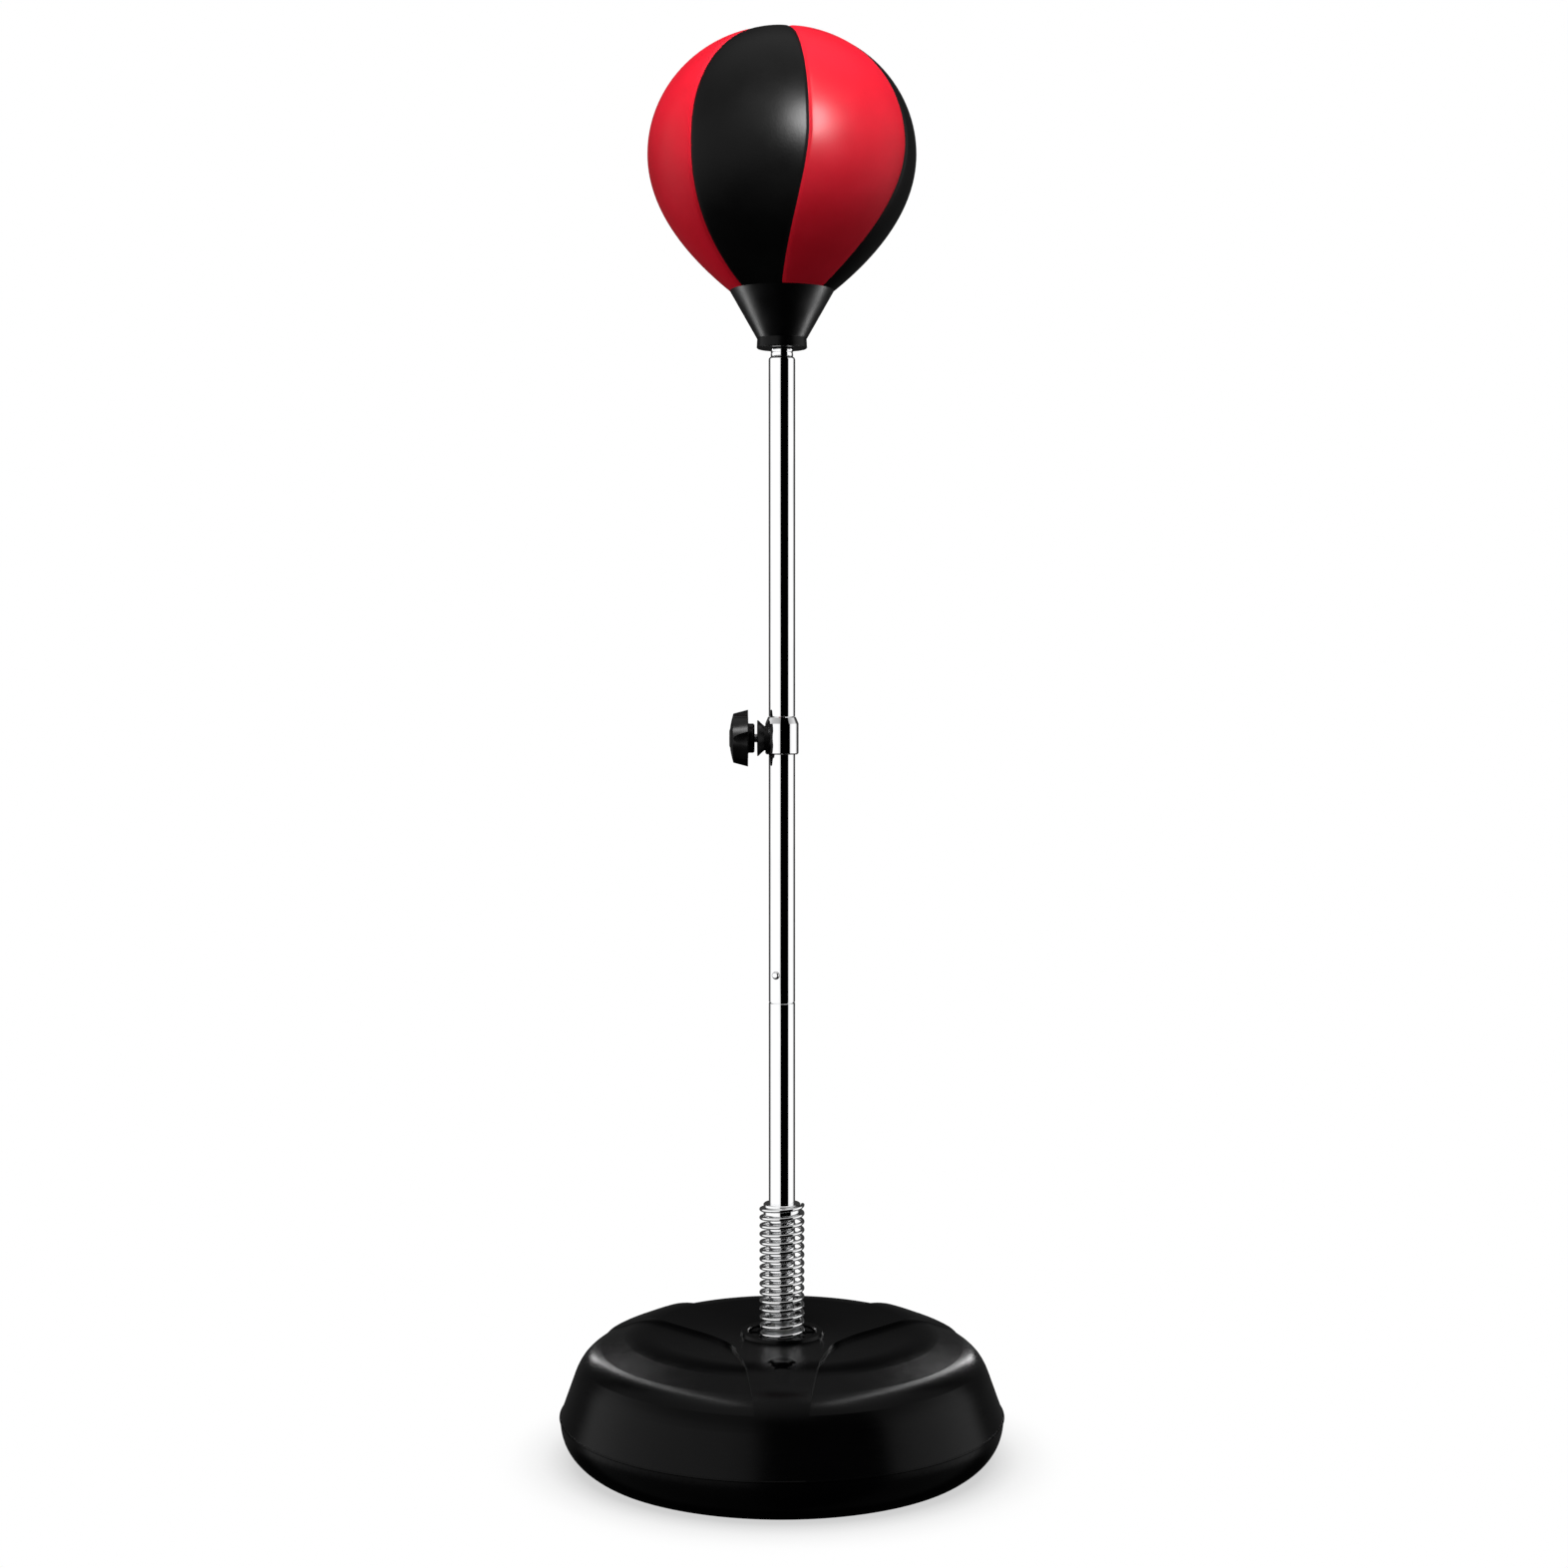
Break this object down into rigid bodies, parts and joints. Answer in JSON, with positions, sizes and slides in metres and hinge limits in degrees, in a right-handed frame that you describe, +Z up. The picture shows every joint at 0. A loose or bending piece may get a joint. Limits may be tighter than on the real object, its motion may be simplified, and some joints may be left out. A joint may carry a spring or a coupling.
{
  "type": "speed_bag_platform",
  "caption": "Free-standing speed ball: sand-filled plastic base, coil spring, telescopic chromed pole with clamp knob, and inflated ball in a rubber cup",
  "frame": {"origin": "on the floor under the pole's axis, in the middle of the base's foot", "axes": "+Z up along the pole, front at -Y, clamp knob along -X"},
  "size_m": [0.4304, 0.4304, 1.3678],
  "materials": {
    "base_plastic": "satin",
    "sand": "matte",
    "chrome": "polished",
    "zinc_steel": "satin",
    "black_rubber": "satin",
    "knob_plastic": "gloss",
    "white_nylon": "satin",
    "red_leather": "gloss",
    "black_leather": "gloss",
    "bladder_rubber": "matte"
  },
  "bodies": {
    "base": {"base_shell": "base_plastic", "sand_ballast": "sand", "socket_ring": "base_plastic", "thrust_washer": "white_nylon"},
    "plug_seal": {"plug_seal": "black_rubber"},
    "fill_plug": {"fill_plug": "base_plastic"},
    "spring_seat": {"spring_seat": "zinc_steel", "pivot_bush": "white_nylon", "pivot_pin": "zinc_steel", "coil_spring": "chrome"},
    "mast": {"tube_foot": "zinc_steel", "spring_collar": "chrome", "lower_tube": "chrome", "mid_tube": "chrome", "button_clip": "zinc_steel", "clamp_collar": "chrome", "slide_bush": "white_nylon", "clamp_nut": "zinc_steel", "clamp_boss": "knob_plastic"},
    "snap_button": {"snap_button": "chrome"},
    "pressure_shoe": {"pressure_shoe": "zinc_steel"},
    "clamp_knob": {"clamp_screw": "zinc_steel", "knob_body": "knob_plastic", "knob_cap": "knob_plastic"},
    "upper_mast": {"inner_tube": "chrome", "inner_tube_bush": "white_nylon", "tube_sleeve": "zinc_steel", "upper_tube": "chrome", "tube_top_plug": "zinc_steel", "ball_stud": "zinc_steel", "neck_nuts": "chrome", "ball_cup": "black_rubber", "cup_insert": "zinc_steel", "ball_bladder": "bladder_rubber", "inflation_valve": "black_rubber", "ball_panel_red_1": "red_leather", "ball_panel_red_2": "red_leather", "ball_panel_red_3": "red_leather", "ball_panel_black_1": "black_leather", "ball_panel_black_2": "black_leather", "ball_panel_black_3": "black_leather"}
  },
  "joints": [
    {"name": "mast_swivel", "type": "hinge", "parent": "base", "child": "spring_seat", "pos_m": [0, 0, 0.12405], "axis": [0, 0, 1], "continuous": true},
    {"name": "mast_sway", "type": "hinge", "parent": "spring_seat", "child": "mast", "pos_m": [0, 0, 0.12405], "axis": [1, 0, 0], "range_deg": [-15, 15], "stiffness_Nm_per_rad": 90, "deforming": ["coil_spring"]},
    {"name": "button_press", "type": "slide", "parent": "mast", "child": "snap_button", "axis": [0.4633, 0.8862, 0], "range_m": [0, 0.004], "stiffness_N_per_m": 400},
    {"name": "shoe_slide", "type": "slide", "parent": "mast", "child": "pressure_shoe", "axis": [-1, 0, 0], "range_m": [0, 0.0025]},
    {"name": "knob_turn", "type": "hinge", "parent": "pressure_shoe", "child": "clamp_knob", "pos_m": [0, 0, 0.69555], "axis": [-1, 0, 0], "range_deg": [0, 722]},
    {"name": "height_slide", "type": "slide", "parent": "mast", "child": "upper_mast", "axis": [0, 0, 1], "range_m": [0, 0.15]},
    {"name": "plug_lift", "type": "slide", "parent": "base", "child": "plug_seal", "axis": [0, 0, 1], "range_m": [0, 0.009]},
    {"name": "plug_turn", "type": "hinge", "parent": "plug_seal", "child": "fill_plug", "pos_m": [0, -0.128, 0.13], "axis": [0, 0, 1], "range_deg": [0, 1083]}
  ],
  "couplings": [
    {"joint": "knob_turn", "follows": "shoe_slide", "rad_per_m": 5026.5},
    {"joint": "plug_turn", "follows": "plug_lift", "rad_per_m": 2094.4}
  ]
}
